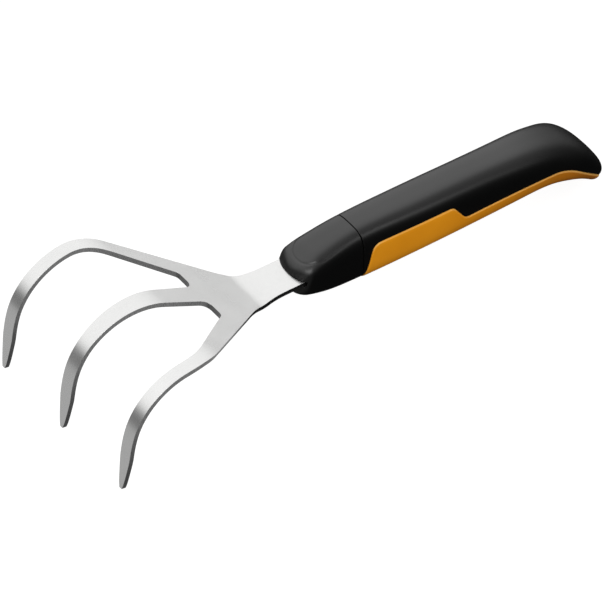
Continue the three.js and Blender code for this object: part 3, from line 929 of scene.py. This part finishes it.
CAMERA_DIRECTION = (math.radians(-35.95), math.radians(42.78))  # azimuth and elevation
CAMERA_ROLL = math.radians(0.56)
CAMERA_AIM = (0.4041, 0.3294, 0.4470)  # as shares of the CAD box
CAMERA_DISTANCE = 7.221  # in tool lengths
CAMERA_LENS = 282.5
SENSOR_WIDTH = 36


def make_floor():
    """A plain pale floor. It looks white to the camera, and darker to the tool's own faces."""
    size = FLOOR_SIZE * TOOL_LENGTH
    z = CAD_BOX[0][2] - FLOOR_GAP
    mesh = bpy.data.meshes.new("floor")
    corners = [(-size, -size, z), (size, -size, z), (size, size, z), (-size, size, z)]
    mesh.from_pydata(corners, [], [(0, 1, 2, 3)])
    floor = bpy.data.objects.new("floor", mesh)
    bpy.context.scene.collection.objects.link(floor)
    material, nodes = new_material("pale_floor")
    x = nodes.place_part(0)
    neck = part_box("nose_collar")[0].x
    under, ahead = FLOOR_SHEEN
    near = nodes.remap(x, *(neck - reach for reach in FLOOR_SHEEN_STEP), under, ahead)
    far = nodes.remap(x, *(CAD_BOX[0][0] - reach for reach in FLOOR_FAR), FLOOR_FAR_SHARE, 1)
    sheen = nodes.add("ShaderNodeEmission", {"Strength": nodes.math("MULTIPLY", near, far)}).outputs[0]
    bounce = nodes.add("ShaderNodeEmission", {"Strength": FLOOR_BOUNCE}).outputs[0]
    paper = nodes.add("ShaderNodeBsdfDiffuse", {"Color": grey(FLOOR_PAPER)}).outputs[0]
    light = nodes.add("ShaderNodeEmission", {"Strength": FLOOR_LIGHT}).outputs[0]
    seen = nodes.add("ShaderNodeAddShader", {0: paper, 1: light}).outputs[0]
    rays = nodes.add("ShaderNodeLightPath").outputs
    unseen = nodes.add("ShaderNodeMixShader", {0: rays["Is Glossy Ray"], 1: bounce, 2: sheen}).outputs[0]
    both = nodes.add("ShaderNodeMixShader", {0: rays["Is Camera Ray"], 1: unseen, 2: seen}).outputs[0]
    nodes.add("ShaderNodeOutputMaterial", {"Surface": both})
    mesh.materials.append(material)


def make_world():
    """A soft dome: bright behind the tool, dim overhead and low ahead of the tines.

    The camera sees it as plain white. Polished and matte faces are filled by different amounts.
    """
    world = bpy.data.worlds.new("studio")
    bpy.context.scene.world = world
    world.use_nodes = True
    nodes = Nodes(world.node_tree)
    direction = nodes.add("ShaderNodeTexCoord").outputs["Generated"]
    x, y, z = nodes.add("ShaderNodeSeparateXYZ", {0: direction}).outputs
    rays = nodes.add("ShaderNodeLightPath").outputs
    matte_fill, polished_fill = DOME_FILL
    span = nodes.remap(rays["Is Glossy Ray"], 0, 1, matte_fill - DOME_TOP, polished_fill - DOME_TOP)
    key = nodes.remap(y, 0.12, 0.5, DOME_TOP, DOME_KEY)
    fill = nodes.remap(y, -0.1, -0.5, 0, span)
    dome = nodes.math("ADD", key, fill)
    low = nodes.remap(x, DOME_AHEAD, DOME_BEHIND, *HORIZON_LOW)
    high = nodes.remap(x, DOME_AHEAD, DOME_BEHIND, *HORIZON_HIGH)
    horizon = nodes.remap(x, DOME_AHEAD, DOME_BEHIND, HORIZON_AHEAD, HORIZON_BEHIND)
    height = nodes.remap(z, low, high, horizon, 1)
    strength = nodes.math("MULTIPLY", dome, height)
    soft = nodes.add("ShaderNodeBackground", {"Strength": strength}).outputs[0]
    white = nodes.add("ShaderNodeBackground", {"Strength": 1.0}).outputs[0]
    both = nodes.add("ShaderNodeMixShader", {0: rays["Is Camera Ray"], 1: soft, 2: white}).outputs[0]
    nodes.add("ShaderNodeOutputWorld", {"Surface": both})


def make_soft_boxes():
    """Small soft boxes that draw highlights along the collar's ridge and on its nose."""
    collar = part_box("nose_collar")[0].lerp(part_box("nose_collar")[1], 0.5)
    for box in SOFT_BOXES:
        data = bpy.data.lights.new(box["name"], "AREA")
        data.shape = "DISK"
        data.size = box["size"]
        data.energy = box["power"]
        light = bpy.data.objects.new(box["name"], data)
        toward = Vector(box["direction"]).normalized()
        light.location = collar + toward * box["distance"]
        light.rotation_euler = (-toward).to_track_quat("-Z", "Y").to_euler()
        bpy.context.scene.collection.objects.link(light)


def make_camera():
    """The camera, aimed at a point given as shares of the CAD box."""
    low, high = Vector(CAD_BOX[0]), Vector(CAD_BOX[1])
    aim = Vector([low[i] + (high[i] - low[i]) * CAMERA_AIM[i] for i in range(3)])
    azimuth, elevation = CAMERA_DIRECTION
    back = Vector((
        math.sin(azimuth) * math.cos(elevation),
        -math.cos(azimuth) * math.cos(elevation),
        math.sin(elevation),
    ))
    data = bpy.data.cameras.new("camera")
    data.lens = CAMERA_LENS
    data.sensor_width = SENSOR_WIDTH
    data.clip_end = 100
    camera = bpy.data.objects.new("camera", data)
    camera.location = aim + back * CAMERA_DISTANCE * TOOL_LENGTH
    roll = Quaternion((0, 0, 1), CAMERA_ROLL)
    camera.rotation_euler = ((-back).to_track_quat("-Z", "Y") @ roll).to_euler()
    bpy.context.scene.collection.objects.link(camera)
    bpy.context.scene.camera = camera


# ---------------------------------------------------------------- assembly

def attach(piece, node, slot, *materials):
    """Puts a piece in place of a CAD node and gives it its finish."""
    for material in materials:
        piece.data.materials.append(material)
    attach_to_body(piece, BODY)
    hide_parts(node)


def paint_cad(node, material):
    """Gives a carried-over CAD node its finish."""
    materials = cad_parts[node].data.materials
    materials.clear()
    materials.append(material)


black = black_plastic()
attach(steel_head(), "tine_head", "head_steel", satin_steel(), cut_steel())
attach(nose_collar(), "nose_collar", "black_grip", black)
attach(
    grip_shell("grip_cover_shell", 1, 0, COVER_EDGE_RADIUS, SEAM_GAP),
    "grip_cover", "black_grip", black,
)
attach(
    grip_shell("grip_insert_shell", -1, -INSERT_PROUD, INSERT_EDGE_RADIUS, 0),
    "grip_insert", "orange_grip", orange_rubber(),
)
core = core_plastic()
pin = pin_steel()
for half in ("core_upper", "core_lower"):
    paint_cad(half, core)
for place in ("tang_pin_front", "tang_pin_rear"):
    paint_cad(place, pin)

make_floor()
make_world()
make_soft_boxes()
make_camera()
bpy.context.scene.view_settings.view_transform = "Standard"
